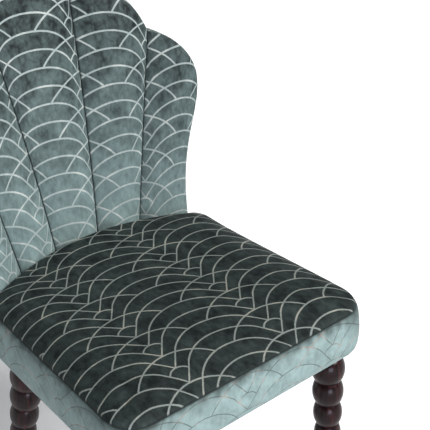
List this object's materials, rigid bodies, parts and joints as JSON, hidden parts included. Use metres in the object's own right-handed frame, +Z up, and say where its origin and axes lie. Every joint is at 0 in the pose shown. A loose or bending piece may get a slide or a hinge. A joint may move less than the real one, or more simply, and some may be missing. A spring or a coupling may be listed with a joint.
{
  "type": "upholstered side chair",
  "caption": "Armless upholstered side chair: crowned square seat, scalloped channelled back and turned bobbin legs in dark wood.",
  "frame": {"origin": "centre of the bounding box at floor level, under the glides", "axes": "+Z up, the chair faces -Y, +X to the right of a viewer who faces the chair"},
  "size_m": [0.502, 0.6392, 0.945],
  "materials": {
    "velvet": "cut velvet, woven arc pattern",
    "foam": "matt",
    "wadding": "matt fibre",
    "lining": "matt non-woven",
    "hessian": "coarse weave",
    "webbing": "herringbone weave",
    "beech": "sawn",
    "plywood": "moulded, sanded",
    "dark_wood": "dark stain, satin lacquer",
    "steel": "zinc plated",
    "nylon": "matt"
  },
  "bodies": {
    "root": {"corner_post_front_left": "beech", "corner_post_front_right": "beech", "corner_post_rear_left": "beech", "corner_post_rear_right": "beech", "seat_rail_front": "beech", "seat_rail_left": "beech", "seat_rail_right": "beech", "seat_rail_rear": "beech", "webbing_long_1": "webbing", "webbing_long_2": "webbing", "webbing_long_3": "webbing", "webbing_cross_1": "webbing", "webbing_cross_2": "webbing", "seat_hessian": "hessian", "seat_foam": "foam", "seat_top_cover": "velvet", "seat_border_cover": "velvet", "seat_dust_cover": "lining", "leg_front_left": "dark_wood", "glide_front_left": "nylon", "leg_bolt_front_left": "steel", "leg_insert_front_left": "steel", "leg_front_right": "dark_wood", "glide_front_right": "nylon", "leg_bolt_front_right": "steel", "leg_insert_front_right": "steel", "leg_rear_left": "dark_wood", "glide_rear_left": "nylon", "leg_bolt_rear_left": "steel", "leg_insert_rear_left": "steel", "leg_rear_right": "dark_wood", "glide_rear_right": "nylon", "leg_bolt_rear_right": "steel", "leg_insert_rear_right": "steel", "back_panel": "plywood", "back_upright_left": "beech", "back_upright_right": "beech", "back_brace_lower": "beech", "back_brace_upper": "beech", "back_bolt_lower_left": "steel", "back_bolt_upper_left": "steel", "back_bolt_lower_right": "steel", "back_bolt_upper_right": "steel", "lobe_foam_outer_left": "foam", "lobe_cover_outer_left": "velvet", "lobe_foam_inner_left": "foam", "lobe_cover_inner_left": "velvet", "lobe_foam_middle": "foam", "lobe_cover_middle": "velvet", "lobe_foam_inner_right": "foam", "lobe_cover_inner_right": "velvet", "lobe_foam_outer_right": "foam", "lobe_cover_outer_right": "velvet", "back_edge_padding": "wadding", "back_wadding": "wadding", "outside_back_cover": "velvet", "back_edge_band": "velvet", "back_bottom_lining": "lining"}
  },
  "joints": []
}
